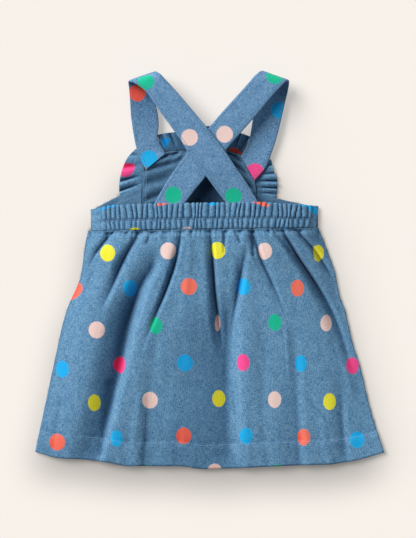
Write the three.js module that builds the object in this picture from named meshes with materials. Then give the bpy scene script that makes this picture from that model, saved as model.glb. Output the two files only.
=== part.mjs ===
// A small child's pinafore dress laid flat with its back facing up.
// Millimetres. +X is the right of the back view, +Y runs from hem to shoulders, +Z is up off the table.
// Each cut piece is a closed wall of cloth. The front lies on the table and the back is puffed up over it.
import * as THREE from "three";

const { lerp, clamp, smoothstep } = THREE.MathUtils;

// Driving dimensions
const CLOTH = 1.2; // one layer of chambray, drawn a little thick
const DOUBLED = 1.6; // frills, cut as folded strips
const STRAP = 2.0; // straps, sewn as flat tubes
const SEAM = 0.3; // gap between two pieces at a seam
const HEM_DEPTH = 26; // turned up at the bottom edge
const SKIRT_LENGTH = 264;
const WAIST_Y = 45; // seam between skirt and waistband at the centre
const WAIST_TILT = 0.014; // the waist seam climbs a little to the right
const WAIST_CENTRE = -5.7;
const WAIST_HALF = 125.3;
const WAIST_SIDE_Z = 3.8; // middle of the waistband's cloth at its ends
const WAIST_CROWN_Z = 18.2; // how much higher it stands at its middle
const BAND_INNER = 1.0; // elastic and inner layer of the casing
const GATHERS = 44; // across the elastic casing
const GATHER_HEIGHT = 3.1;
const CASING_STITCH = 0.6; // the channel stitching, as a share of the casing's height

// The skirt's outline in the back view: share of the way down, and its left and right edges
const SKIRT_SIDES = [
  { down: 0, left: -133.9, right: 119.6 },
  { down: 0.05, left: -136.7, right: 124.9 },
  { down: 0.1, left: -138.4, right: 129.8 },
  { down: 0.2, left: -142.2, right: 138.7 },
  { down: 0.25, left: -146.7, right: 141.0 },
  { down: 0.3, left: -152.5, right: 143.9 },
  { down: 0.35, left: -157.6, right: 149.0 },
  { down: 0.4, left: -161.3, right: 151.9 },
  { down: 0.5, left: -167.0, right: 157.9 },
  { down: 0.6, left: -172.3, right: 165.7 },
  { down: 0.8, left: -182.5, right: 177.5 },
  { down: 1, left: -192.5, right: 192.5 },
];

// The hem's lower edge, left to right
const HEM_LINE = [
  { x: -192.5, y: -200.4 },
  { x: -166.5, y: -207.2 },
  { x: -138.5, y: -208.9 },
  { x: -110.4, y: -212.4 },
  { x: -90.9, y: -215.9 },
  { x: -33.3, y: -216.2 },
  { x: -5.2, y: -219.4 },
  { x: 35.4, y: -218.0 },
  { x: 98.6, y: -215.2 },
  { x: 130.8, y: -214.2 },
  { x: 161.7, y: -209.6 },
  { x: 192.5, y: -201.2 },
];

// How high the middle of the back skirt's cloth stands over its side seams
const BACK_CROWN = [
  { down: 0, z: 18 },
  { down: 0.12, z: 20.5 },
  { down: 0.5, z: 19 },
  { down: 0.8, z: 15 },
  { down: 1, z: 8.5 },
];

// Folds hanging from the waist. Columns "at" give the valley's x at each level of FOLD_LEVELS.
// The valley is there between starts and ends, and deepest at peak. Its left wall is long and rounded, and
// its right wall short: left and right give their widths at the waist and low down.
// The skirt's grid follows the folds marked as guides.
const FOLD_LEVELS = [0, 0.12, 0.25, 0.4, 0.6, 0.8, 1];
const BACK_FOLDS = [
  fold([-106, -129, -141, -154, -165, -175, -185], -0.05, 0.06, 0.2, 5, [9, 9], [5, 5], true),
  fold([-76, -94, -109, -127, -143, -155, -165], -0.05, 0.14, 0.38, 7.5, [12, 12], [7, 7], true),
  fold([-56, -61, -78, -91, -105, -121.5, -137], 0, 0.4, 1.45, 17, [24, 30], [15, 13], true),
  fold([-31, -36.5, -47.5, -64, -84, -96, -106], -0.1, 0.2, 0.54, 7.5, [8, 8], [4.5, 4.5], true),
  fold([0, 3, 5.5, 10, 14, 16, 18], -0.1, 0.22, 0.55, 9, [9, 14], [4.5, 6], true),
  fold([16, 16, 16.5, 17.5, 16, 16.5, 18], 0.2, 0.46, 1.5, 11, [24, 92], [10, 26], false),
  fold([42, 37, 31, 24, 18, 18, 18], 0.02, 0.26, 0.48, 6, [10, 10], [8, 10], false),
  fold([46, 55, 70, 84, 92, 98, 100], -0.1, 0.08, 0.42, 5.5, [10, 12], [6, 8], true),
  fold([78, 97, 119, 139, 155, 168, 183], -0.06, 0.14, 0.66, 11, [12, 18], [5, 7], true),
  fold([93, 120, 138, 149, 162, 173.5, 188.5], -0.08, 0.1, 0.24, 5.5, [8, 8], [5, 5], true),
  fold([92, 92, 92, 92, 93, 95, 97], 0.28, 0.85, 1.6, 3, [12, 26], [7, 12], false),
  fold([140, 140, 141, 142, 143, 144, 149], 0.55, 0.9, 1.6, 3, [14, 14], [10, 10], false),
  fold([-60, -62, -64, -66, -68, -70, -74], 0.55, 0.85, 1.6, 3, [9, 9], [12, 30], false),
];

// Round ridges between the folds, with their height and half width
const BACK_RIDGES = [
  { at: [-98, -112, -122, -133, -142, -151, -158], starts: 0.02, peak: 0.45, ends: 1.3, height: 5, half: 30 },
  { at: [-40, -45, -55, -70, -86, -100, -115], starts: 0.2, peak: 0.5, ends: 1.3, height: 3, half: 24 },
  { at: [30, 32, 34, 38, 38, 38, 40], starts: 0.3, peak: 0.5, ends: 1.2, height: 2.5, half: 22 },
];

// The front's folds are shallow, because the cloth lies on the table
const FRONT_FOLDS = [
  { at: [-100, -108, -118, -130, -142, -152, -160], starts: -0.1, peak: 0.06, ends: 0.45, depth: 2.0, narrow: 4, wide: 7 },
  { at: [-74, -79, -86, -94, -104, -112, -118], starts: -0.1, peak: 0.08, ends: 0.6, depth: 2.2, narrow: 4, wide: 8 },
  { at: [-46, -49, -53, -57, -62, -66, -70], starts: -0.1, peak: 0.06, ends: 0.4, depth: 2.0, narrow: 4, wide: 7 },
  { at: [-18, -19, -20, -22, -25, -27, -29], starts: -0.1, peak: 0.08, ends: 0.55, depth: 2.2, narrow: 4, wide: 8 },
  { at: [12, 13, 14, 15, 17, 18, 19], starts: -0.1, peak: 0.06, ends: 0.42, depth: 2.0, narrow: 4, wide: 7 },
  { at: [40, 43, 47, 51, 56, 60, 64], starts: -0.1, peak: 0.08, ends: 0.62, depth: 2.2, narrow: 4, wide: 8 },
  { at: [66, 71, 77, 85, 96, 105, 111], starts: -0.1, peak: 0.06, ends: 0.4, depth: 2.0, narrow: 4, wide: 7 },
  { at: [92, 100, 110, 121, 134, 145, 153], starts: -0.1, peak: 0.08, ends: 0.5, depth: 2.2, narrow: 4, wide: 7 },
];

// Short gathers that die out just below the waistband
const SHORT_GATHERS = [
  { x: -113, depth: 3.4, reach: 0.06 },
  { x: -92, depth: 2.6, reach: 0.06 },
  { x: -79, depth: 2.0, reach: 0.05 },
  { x: -62, depth: 3.0, reach: 0.06 },
  { x: -48, depth: 2.2, reach: 0.08 },
  { x: -20, depth: 2.0, reach: 0.05 },
  { x: 17, depth: 2.6, reach: 0.1 },
  { x: 33, depth: 3.2, reach: 0.07 },
  { x: 64, depth: 2.6, reach: 0.05 },
  { x: 100, depth: 2.6, reach: 0.06 },
];

// The elastic casing, left to right: its upper edge
const BAND_TOP = [
  { x: -131.1, y: 66.8 },
  { x: -107.5, y: 70.5 },
  { x: -72.3, y: 72.3 },
  { x: -1.9, y: 73.5 },
  { x: 50.3, y: 74.2 },
  { x: 85.0, y: 72.3 },
  { x: 119.6, y: 70.4 },
];

// The bib's sides, from its top edge down to the waist seam
const BIB_SIDES = [
  { down: 0, left: -49.3, right: 35.3 },
  { down: 0.12, left: -59.6, right: 38.9 },
  { down: 0.23, left: -70.2, right: 43.4 },
  { down: 0.27, left: -73.2, right: 45.2 },
  { down: 0.34, left: -73.4, right: 49.6 },
  { down: 0.6, left: -74.3, right: 51.8 },
  { down: 1, left: -74.1, right: 53.7 },
];
const BIB_TOP = [
  { x: -49.3, y: 129.6 },
  { x: -26.6, y: 132.1 },
  { x: -5.2, y: 133.1 },
  { x: 16.8, y: 131.4 },
  { x: 35.3, y: 126.2 },
];
const BIB_MIDDLE_Z = 3.0;
const BIB_SEAM_Z = 6.5; // it lies on the roots of the shoulder frills
const BIB_CORNER_Z = 4.4;

// Side pieces of the front, between bib and side seam: their upper edges
const LEFT_SIDE_TOP = [
  { x: -130.9, y: 65.5 },
  { x: -104.2, y: 79.6 },
  { x: -74.7, y: 92.0 },
];
const RIGHT_SIDE_TOP = [
  { x: 52.6, y: 83.9 },
  { x: 98.7, y: 73.4 },
  { x: 119.4, y: 69.2 },
];

// Frill along the bib's upper edge: foot on the seam, and free edge
const NECK_FRILL = [
  { footX: -48.8, footY: 130.4, edgeX: -58.2, edgeY: 149.0 },
  { footX: -38.0, footY: 131.7, edgeX: -46.0, edgeY: 151.2 },
  { footX: -26.6, footY: 132.8, edgeX: -34.0, edgeY: 152.4 },
  { footX: -15.0, footY: 133.6, edgeX: -18.5, edgeY: 155.6 },
  { footX: -5.2, footY: 133.9, edgeX: -3.0, edgeY: 158.4 },
  { footX: 6.0, footY: 133.3, edgeX: 9.0, edgeY: 157.6 },
  { footX: 16.8, footY: 132.2, edgeX: 22.0, edgeY: 154.8 },
  { footX: 26.0, footY: 129.7, edgeX: 34.5, edgeY: 150.8 },
  { footX: 34.0, footY: 127.0, edgeX: 45.0, edgeY: 147.2 },
];
const NECK_FRILL_WAVES = 11;

// Frills that stick out past the bib, from below the shoulder down to the side piece
const LEFT_FRILL = [
  { footX: -78.3, footY: 131.5, edgeX: -81.6, edgeY: 133.6 },
  { footX: -76.0, footY: 125.0, edgeX: -88.6, edgeY: 126.4 },
  { footX: -73.4, footY: 118.5, edgeX: -93.4, edgeY: 119.0 },
  { footX: -72.0, footY: 111.5, edgeX: -97.4, edgeY: 107.5 },
  { footX: -72.8, footY: 104.5, edgeX: -99.4, edgeY: 97.5 },
  { footX: -73.4, footY: 97.5, edgeX: -99.9, edgeY: 89.0 },
  { footX: -73.6, footY: 90.5, edgeX: -98.6, edgeY: 81.5 },
  { footX: -73.7, footY: 84.0, edgeX: -94.5, edgeY: 75.5 },
  { footX: -73.7, footY: 78.5, edgeX: -86.0, edgeY: 72.0 },
];
const RIGHT_FRILL = [
  { footX: 63.2, footY: 119.5, edgeX: 67.6, edgeY: 122.0 },
  { footX: 60.8, footY: 113.5, edgeX: 69.6, edgeY: 114.0 },
  { footX: 56.7, footY: 107.0, edgeX: 71.4, edgeY: 107.2 },
  { footX: 51.4, footY: 101.0, edgeX: 74.2, edgeY: 101.5 },
  { footX: 50.0, footY: 95.0, edgeX: 74.9, edgeY: 94.0 },
  { footX: 50.6, footY: 88.5, edgeX: 74.4, edgeY: 87.5 },
  { footX: 51.2, footY: 83.0, edgeX: 72.4, edgeY: 80.5 },
  { footX: 51.4, footY: 78.5, edgeX: 66.0, edgeY: 74.0 },
];
const SIDE_FRILL_WAVES = 6;
const FRILL_FOOT_Z = 4.5;
const NECK_FOOT_Z = 3.6;

// The straps as sections from the bib, up, over the shoulder and down to the waistband.
// a is the outer edge on the front part, and b the inner edge.
const LEFT_STRAP = [
  { ax: -70.2, ay: 110.3, az: 8.6, bx: -48.7, by: 128.2, bz: 6.5 },
  { ax: -77.2, ay: 124.3, az: 7.3, bx: -54.1, by: 138.2, bz: 6.3 },
  { ax: -81.3, ay: 136.4, az: 7.6, bx: -57.3, by: 147.4, bz: 7.6 },
  { ax: -84.2, ay: 151.8, az: 8.6, bx: -56.2, by: 158.4, bz: 8.4 },
  { ax: -86.6, ay: 169.4, az: 9.6, bx: -57.1, by: 171.4, bz: 8.8 },
  { ax: -87.6, ay: 185.0, az: 10.2, bx: -60.6, by: 189.0, bz: 9.0 },
  { ax: -88.6, ay: 198.0, az: 10.2, bx: -61.6, by: 206.0, bz: 9.2 },
  { ax: -89.2, ay: 204.2, az: 12.4, bx: -60.6, by: 214.4, bz: 12.0 },
  { ax: -89.1, ay: 207.0, az: 18.0, bx: -59.2, by: 217.6, bz: 18.2 },
  { ax: -85.6, ay: 206.0, az: 23.6, bx: -56.9, by: 216.4, bz: 23.4 },
  { ax: -79.3, ay: 203.0, az: 26.6, bx: -53.3, by: 214.0, bz: 26.6 },
  { ax: -70.3, ay: 195.7, az: 27.6, bx: -47.0, by: 207.2, bz: 27.6 },
  { ax: -61.4, ay: 183.8, az: 27.8, bx: -38.6, by: 198.2, bz: 27.8 },
  { ax: -53.5, ay: 172.2, az: 27.6, bx: -30.4, by: 188.8, bz: 27.6 },
  { ax: -43.4, ay: 158.4, az: 27.0, bx: -19.6, by: 176.0, bz: 27.2 },
  { ax: -32.7, ay: 143.0, az: 26.4, bx: -7.4, by: 161.5, bz: 26.8 },
  { ax: -23.2, ay: 128.6, az: 25.8, bx: 4.2, by: 147.0, bz: 26.4 },
  { ax: -13.4, ay: 115.5, az: 25.0, bx: 16.0, by: 131.6, bz: 25.6 },
  { ax: -3.6, ay: 102.2, az: 23.6, bx: 26.7, by: 115.5, bz: 24.4 },
  { ax: 6.9, ay: 88.0, az: 20.6, bx: 39.4, by: 97.4, bz: 21.2 },
  { ax: 17.0, ay: 74.6, az: 18.5, bx: 51.6, by: 77.6, bz: 17.5 },
  { ax: 25.6, ay: 62.7, az: 18.7, bx: 57.6, by: 62.9, bz: 17.4 },
];
const RIGHT_STRAP = [
  { ax: 34.4, ay: 125.1, az: 7.3, bx: 49.5, by: 98.4, bz: 9.2 },
  { ax: 40.2, ay: 135.4, az: 6.3, bx: 61.6, by: 112.6, bz: 7.3 },
  { ax: 44.2, ay: 146.3, az: 7.6, bx: 68.9, by: 131.0, bz: 7.4 },
  { ax: 46.2, ay: 158.0, az: 8.2, bx: 74.4, by: 148.0, bz: 7.8 },
  { ax: 48.4, ay: 171.0, az: 8.6, bx: 79.3, by: 168.0, bz: 8.2 },
  { ax: 52.0, ay: 188.0, az: 8.8, bx: 83.0, by: 184.3, bz: 8.6 },
  { ax: 55.0, ay: 207.0, az: 9.0, bx: 86.0, by: 197.0, bz: 9.2 },
  { ax: 56.6, ay: 214.6, az: 11.8, bx: 87.2, by: 204.6, bz: 12.0 },
  { ax: 56.6, ay: 218.2, az: 18.0, bx: 86.6, by: 208.0, bz: 18.0 },
  { ax: 53.6, ay: 216.6, az: 23.2, bx: 83.0, by: 206.0, bz: 23.0 },
  { ax: 48.4, ay: 211.8, az: 26.0, bx: 76.4, by: 199.2, bz: 25.8 },
  { ax: 41.4, ay: 203.6, az: 26.8, bx: 68.6, by: 190.4, bz: 26.4 },
  { ax: 31.4, ay: 192.6, az: 26.6, bx: 58.2, by: 178.2, bz: 26.2 },
  { ax: 19.6, ay: 179.6, az: 25.8, bx: 47.0, by: 164.9, bz: 25.4 },
  { ax: 4.7, ay: 162.8, az: 24.0, bx: 33.2, by: 149.4, bz: 24.0 },
  { ax: -9.6, ay: 145.2, az: 22.8, bx: 18.5, by: 132.1, bz: 22.6 },
  { ax: -21.7, ay: 130.9, az: 22.2, bx: 5.8, by: 116.6, bz: 21.8 },
  { ax: -33.0, ay: 117.4, az: 21.6, bx: -4.8, by: 101.9, bz: 21.2 },
  { ax: -46.4, ay: 98.0, az: 20.4, bx: -16.0, by: 88.0, bz: 20.2 },
  { ax: -59.0, ay: 76.6, az: 17.6, bx: -26.4, by: 74.4, bz: 18.6 },
  { ax: -65.6, ay: 62.9, az: 17.6, bx: -34.9, by: 62.7, bz: 18.8 },
];

// Colours of the printed chambray, seen from a step away
const materials = {
  outside: cloth("#5b85a8"),
  inside: cloth("#6a8fae"),
  band: cloth("#557fa2"),
  frill: cloth("#4f7698"),
  strap: cloth("#6490b3"),
};

function cloth(colour) {
  return new THREE.MeshStandardMaterial({ color: colour, roughness: 0.9, metalness: 0 });
}

// A value between rows of a table, on a smooth curve that never overshoots its neighbours
function read(rows, key, column, at) {
  const last = rows.length - 1;
  if (at <= rows[0][key]) return rows[0][column];
  if (at >= rows[last][key]) return rows[last][column];
  const i = rows.findIndex((row) => row[key] > at) - 1;
  const step = (k) => rows[k + 1][key] - rows[k][key];
  const slope = (k) => (rows[k + 1][column] - rows[k][column]) / step(k);
  const tangent = (k) => {
    if (k === 0) return slope(0);
    if (k === last) return slope(last - 1);
    const product = slope(k - 1) * slope(k);
    return product <= 0 ? 0 : (2 * product) / (slope(k - 1) + slope(k));
  };
  const h = step(i);
  const t = (at - rows[i][key]) / h;
  const rise = rows[i + 1][column] - rows[i][column];
  const bend = (1 - t) * (tangent(i) * h - rise) - t * (tangent(i + 1) * h - rise);
  return rows[i][column] + rise * t + t * (1 - t) * bend;
}

// A value on the smooth curve through evenly spaced rows, at a share of the way along them
function through(rows, column, share) {
  const last = rows.length - 1;
  const place = clamp(share, 0, 1) * last;
  const i = Math.min(Math.floor(place), last - 1);
  const t = place - i;
  const value = (k) => rows[clamp(k, 0, last)][column];
  const [a, b, c, d] = [value(i - 1), value(i), value(i + 1), value(i + 2)];
  return b + 0.5 * t * (c - a + t * (2 * a - 5 * b + 4 * c - d + t * (3 * (b - c) + d - a)));
}

// 1 in the middle of a fold, falling smoothly to 0 at its half width
function bump(offset, half) {
  const t = Math.abs(offset) / half;
  return t >= 1 ? 0 : (1 + Math.cos(Math.PI * t)) / 2;
}

function evenly(count) {
  return Array.from({ length: count + 1 }, (_, i) => i / count);
}

// A closed wall of cloth. point gives the middle of the cloth at shares u across and v along,
// and out and inward give how far its two faces lie from there.
function wall(name, columns, rows, point, out, inward, material) {
  const middle = columns.map((u) => rows.map((v) => point(u, v)));
  const [wide, long] = [columns.length, rows.length];
  const at = (i, j) => middle[clamp(i, 0, wide - 1)][clamp(j, 0, long - 1)];
  const faces = [[], []];
  for (let i = 0; i < wide; i++)
    for (let j = 0; j < long; j++) {
      const across = at(i + 1, j).clone().sub(at(i - 1, j));
      const along = at(i, j + 1).clone().sub(at(i, j - 1));
      const normal = along.cross(across).normalize();
      const [u, v] = [columns[i], rows[j]];
      faces[0].push(at(i, j).clone().addScaledVector(normal, out(u, v)));
      faces[1].push(at(i, j).clone().addScaledVector(normal, -inward(u, v)));
    }
  const count = wide * long;
  const top = (i, j) => i * long + j;
  const under = (i, j) => count + i * long + j;
  const triangles = [];
  const quad = (a, b, c, d) => triangles.push(a, b, c, a, c, d);
  for (let i = 0; i < wide - 1; i++)
    for (let j = 0; j < long - 1; j++) {
      quad(top(i, j), top(i, j + 1), top(i + 1, j + 1), top(i + 1, j));
      quad(under(i, j), under(i + 1, j), under(i + 1, j + 1), under(i, j + 1));
    }
  for (let i = 0; i < wide - 1; i++) {
    quad(top(i, 0), top(i + 1, 0), under(i + 1, 0), under(i, 0));
    quad(top(i + 1, long - 1), top(i, long - 1), under(i, long - 1), under(i + 1, long - 1));
  }
  for (let j = 0; j < long - 1; j++) {
    quad(top(0, j), under(0, j), under(0, j + 1), top(0, j + 1));
    quad(top(wide - 1, j + 1), under(wide - 1, j + 1), under(wide - 1, j), top(wide - 1, j));
  }
  const geometry = new THREE.BufferGeometry().setFromPoints(faces.flat());
  geometry.setIndex(triangles);
  geometry.computeVertexNormals();
  const mesh = new THREE.Mesh(geometry, material);
  mesh.name = name;
  return mesh;
}

const half = (thickness) => () => thickness / 2;
const waistY = (x) => WAIST_Y + WAIST_TILT * x;

// Height of the back's waist seam, over the side seams and up to the middle
function waistZ(x) {
  const t = Math.min(Math.abs(x - WAIST_CENTRE) / WAIST_HALF, 1);
  return WAIST_SIDE_Z + WAIST_CROWN_Z * Math.pow(1 - Math.pow(t, 3.2), 0.8);
}

// One row of the table of folds
function fold(at, starts, peak, ends, depth, left, right, guide) {
  return { at, starts, peak, ends, depth, left, right, guide };
}

// Where a fold's valley lies at a level, and how much of it is there
function foldX(row, down) {
  const rows = FOLD_LEVELS.map((level, i) => ({ level, x: row.at[i] }));
  return read(rows, "level", "x", down);
}

function foldShare(row, down) {
  return Math.min(smoothstep(down, row.starts, row.peak), 1 - smoothstep(down, row.peak, row.ends));
}

// How deep the skirt's back is cut by a fold
function foldCut(row, x, down) {
  const offset = x - foldX(row, down);
  const low = smoothstep(down, 0, 0.8);
  if (offset >= 0) return row.depth * foldShare(row, down) * bump(offset, lerp(...row.right, low));
  const sinking = clamp(1 + offset / lerp(...row.left, low), 0, 1);
  return row.depth * foldShare(row, down) * Math.pow(sinking, 1.6);
}

// How high a fold of the front stands
function foldRise(row, x, down) {
  const width = lerp(row.narrow, row.wide, smoothstep(down, 0, 0.8));
  return row.depth * foldShare(row, down) * bump(x - foldX(row, down), width);
}

const hemShare = (down) => smoothstep(down, 1 - HEM_DEPTH / SKIRT_LENGTH - 0.01, 1 - HEM_DEPTH / SKIRT_LENGTH);

// Columns of the skirt's grid follow its folds, and crowd together beside each one
function skirtX(u, down, folds) {
  const knots = [
    read(SKIRT_SIDES, "down", "left", down),
    ...folds.map((row) => foldX(row, down)),
    read(SKIRT_SIDES, "down", "right", down),
  ];
  const place = u * (knots.length - 1);
  const i = Math.min(Math.floor(place), knots.length - 2);
  const t = place - i;
  return lerp(knots[i], knots[i + 1], t - (0.75 * Math.sin(2 * Math.PI * t)) / (2 * Math.PI));
}

function skirtPoint(u, down, folds, height) {
  const x = skirtX(u, down, folds);
  const y = lerp(waistY(x), read(HEM_LINE, "x", "y", x), down);
  const [left, right] = ["left", "right"].map((side) => read(SKIRT_SIDES, "down", side, down));
  const t = clamp((2 * (x - left)) / (right - left) - 1, -1, 1);
  return new THREE.Vector3(x, y, height(x, down, t));
}

// The back is puffed up, with valleys cut into it
function backHeight(x, down, t) {
  const seam = CLOTH * (1.5 + hemShare(down)) + SEAM - 2 * Math.exp(-1);
  const dome = seam + read(BACK_CROWN, "down", "z", down) * Math.pow(1 - t ** 4, t < 0 ? 0.7 : 1.1);
  const away = smoothstep(down, 0.008, 0.08);
  const puff = 2.6 * smoothstep(down, 0.008, 0.03) * (1 - smoothstep(down, 0.05, 0.2)) * (1 - Math.abs(t) ** 8);
  const short = SHORT_GATHERS.reduce(
    (sum, g) => sum + g.depth * bump(x - g.x, 4.5) * (1 - smoothstep(down, 0, g.reach)),
    0,
  );
  const folded = BACK_FOLDS.reduce((sum, row) => sum + foldCut(row, x, down), 0);
  const ridges = BACK_RIDGES.reduce(
    (sum, row) => sum + row.height * foldShare(row, down) * bump(x - foldX(row, down), row.half),
    0,
  );
  const cut = folded - ridges * (1 - t ** 8);
  const z = lerp(waistZ(x), dome, away) + puff - (cut + short) * smoothstep(down, 0.008, 0.02);
  const floor = seam + 1.4 * (1 - Math.abs(t) ** 12);
  return z > floor + 2 ? z : floor + 2 * Math.exp((z - floor - 2) / 2);
}

// The front lies flat, with its folds raised a little off the table
function frontHeight(x, down) {
  const raised = FRONT_FOLDS.reduce((sum, row) => sum + foldRise(row, x, down), 0);
  return CLOTH / 2 + raised * smoothstep(down, 0.008, 0.04);
}

function skirt(name, folds, height, rows, perFold) {
  const columns = evenly((folds.length + 1) * perFold);
  const inside = (u, v) => CLOTH / 2 + (CLOTH / 2) * hemShare(v);
  const plain = half(CLOTH);
  const faces = name === "skirt_front" ? [inside, plain] : [plain, inside];
  return wall(name, columns, rows, (u, v) => skirtPoint(u, v, folds, height), ...faces, materials.outside);
}

// The casing: gathers crowd and spread a little along it
function waistband() {
  const shift = (u) => 0.0042 * Math.sin(33 * u) + 0.0026 * Math.sin(71 * u + 1) + 0.0016 * Math.sin(119 * u);
  const ends = (u) => smoothstep(u, 0.03, 0.06) * (1 - smoothstep(u, 0.955, 0.98));
  const point = (u, v) => {
    const share = u + shift(u) * ends(u) + 0.004 * Math.sin(47 * u) * Math.sin(3 * v) * ends(u);
    const x = lerp(lerp(-131.1, -128.8, v), lerp(119.6, 117.2, v), share);
    const y = lerp(read(BAND_TOP, "x", "y", x), waistY(x) + SEAM, v);
    return new THREE.Vector3(x, y, waistZ(x) - 0.8 * (1 - v) * (1 - v));
  };
  const out = (u, v) => {
    const gather = Math.abs(Math.sin(Math.PI * GATHERS * u)) * ends(u);
    const channel = 1 - 0.55 * bump(v - CASING_STITCH, 0.1);
    const edge = lerp(0.45, 1, smoothstep(Math.min(v, 1 - v), 0, 0.12));
    return CLOTH / 2 + GATHER_HEIGHT * gather * channel * edge;
  };
  const rows = [0, 0.14, 0.5, 0.6, 0.7, 1];
  return wall("waistband_back", evenly(GATHERS * 3), rows, point, out, () => BAND_INNER, materials.band);
}

// How far the front has risen from the table at a height above the waist seam
const rise = (y) => smoothstep(y, WAIST_Y + 2, WAIST_Y + 34);

function bibSeamZ(y) {
  const corner = smoothstep(y, 108, 130);
  return CLOTH / 2 + (lerp(BIB_SEAM_Z, BIB_CORNER_Z, corner) - CLOTH / 2) * rise(y);
}

// The x of the bib's side edge at a height above the waist seam
function bibEdge(side, y) {
  const [top, low] = side === "left" ? [BIB_TOP[0], BIB_SIDES[6].left] : [BIB_TOP[4], BIB_SIDES[6].right];
  return read(BIB_SIDES, "down", side, (top.y - y) / (top.y - waistY(low) - SEAM));
}

// The bib is drawn in at its top edge and along the frills, so small folds run in from both
function bib() {
  const point = (u, v) => {
    const x = lerp(read(BIB_SIDES, "down", "left", v), read(BIB_SIDES, "down", "right", v), u);
    const topX = lerp(-49.3, 35.3, u);
    const y = lerp(read(BIB_TOP, "x", "y", topX), waistY(x) + SEAM, v);
    const side = Math.pow(Math.abs(2 * u - 1), 2.4);
    const middle = CLOTH / 2 + (BIB_MIDDLE_Z - CLOTH / 2) * rise(y);
    const nearSide = smoothstep(Math.abs(2 * u - 1), 0.35, 0.8) * (1 - smoothstep(Math.abs(2 * u - 1), 0.86, 1));
    const drift = 0.15 * Math.sin(9 * v);
    const sideFolds = 1.6 * Math.sin(2 * Math.PI * (v * 6.5 + u * 0.8 + drift)) * nearSide * rise(y);
    const topFolds = 0.8 * Math.cos(2 * Math.PI * 9 * u) * (1 - smoothstep(v, 0.02, 0.24)) * (1 - side);
    return new THREE.Vector3(x, y, lerp(middle, bibSeamZ(y), side) + sideFolds + topFolds);
  };
  return wall("bib", evenly(30), evenly(12), point, half(CLOTH), half(CLOTH), materials.inside);
}

// A side piece: its straight edge meets the bib, and its point reaches the side seam
function sidePiece(name, upper, seamAtRight) {
  const [from, to] = [upper[0].x, upper[upper.length - 1].x];
  const edge = seamAtRight ? "left" : "right";
  const point = (u, v) => {
    const flat = lerp(from, to, u);
    const lower = waistY(flat) + SEAM;
    const y = lerp(read(upper, "x", "y", flat), lower, v);
    const seamSide = seamAtRight ? u : 1 - u;
    const seamX = bibEdge(edge, y) + (seamAtRight ? -2 : 2) * SEAM;
    const x = flat + (seamX - (seamAtRight ? to : from)) * seamSide;
    const near = Math.pow(seamSide, 1.4);
    const outer = CLOTH / 2 + 0.4 * rise(y + 10);
    const wrinkle = 0.7 * Math.sin(9 * u + 5 * v) * (1 - Math.abs(2 * u - 1)) * rise(y);
    return new THREE.Vector3(x, y, lerp(outer, bibSeamZ(y), near) + wrinkle);
  };
  return wall(name, evenly(12), evenly(6), point, half(CLOTH), half(CLOTH), materials.inside);
}

// A gathered frill: flat at its foot and waving along its free edge
function frill(name, table, waves, swing, calm, foot, lift, perWave) {
  const point = (u, v) => {
    const x = lerp(through(table, "footX", u), through(table, "edgeX", u), v);
    const y = lerp(through(table, "footY", u), through(table, "edgeY", u), v);
    const phase = 2 * Math.PI * (waves * u + 0.18 * Math.sin(7 * u + 1));
    const wave = swing * calm(u) * Math.sin(phase) * smoothstep(v, 0, 0.75);
    return new THREE.Vector3(x, y, Math.max(foot + lift(u) * v + wave, DOUBLED / 2 + 0.1));
  };
  return wall(name, evenly(waves * perWave), evenly(3), point, half(DOUBLED), half(DOUBLED), materials.frill);
}

// A strap, through its sections
function strap(name, table, steps) {
  const point = (u, v) => {
    const [a, b] = ["a", "b"].map((edge) =>
      new THREE.Vector3(...["x", "y", "z"].map((axis) => through(table, edge + axis, v))),
    );
    return a.lerp(b, u);
  };
  return wall(name, evenly(2), evenly(steps), point, half(STRAP), half(STRAP), materials.strap);
}

const dress = new THREE.Group();
const backRows = [0, 0.008, 0.022, 0.045, 0.08, 0.13, 0.19, 0.26, 0.34, 0.42, 0.51, 0.61, 0.71, 0.81, 0.893, 0.903, 1];
const frontRows = [0, 0.008, 0.04, 0.1, 0.18, 0.28, 0.4, 0.55, 0.72, 0.893, 0.903, 1];
const guides = BACK_FOLDS.filter((row) => row.guide);
dress.add(skirt("skirt_back", guides, backHeight, backRows, 7));
dress.add(skirt("skirt_front", FRONT_FOLDS, frontHeight, frontRows, 3));
dress.add(waistband());
dress.add(bib());
dress.add(sidePiece("front_side_left", LEFT_SIDE_TOP, true));
dress.add(sidePiece("front_side_right", RIGHT_SIDE_TOP, false));
const calmUnderSide = (u) => 1 - 0.85 * smoothstep(u, 0.6, 0.8);
const neckCalm = (u) => 0.35 + 0.65 * smoothstep(Math.min(u, 1 - u), 0.02, 0.2);
const sideLift = (u) => lerp(-1.2, -3.6, smoothstep(u, 0.5, 0.7));
const neckLift = (u) => 2.4 * Math.sin(Math.PI * u);
dress.add(frill("frill_left", LEFT_FRILL, SIDE_FRILL_WAVES, 2.2, calmUnderSide, FRILL_FOOT_Z, sideLift, 5));
dress.add(frill("frill_right", RIGHT_FRILL, SIDE_FRILL_WAVES, 2.2, calmUnderSide, FRILL_FOOT_Z, sideLift, 5));
dress.add(frill("frill_neck", NECK_FRILL, NECK_FRILL_WAVES, 1.8, neckCalm, NECK_FOOT_Z, neckLift, 4));
dress.add(strap("strap_left", LEFT_STRAP, 42));
dress.add(strap("strap_right", RIGHT_STRAP, 40));

export default dress;
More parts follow.
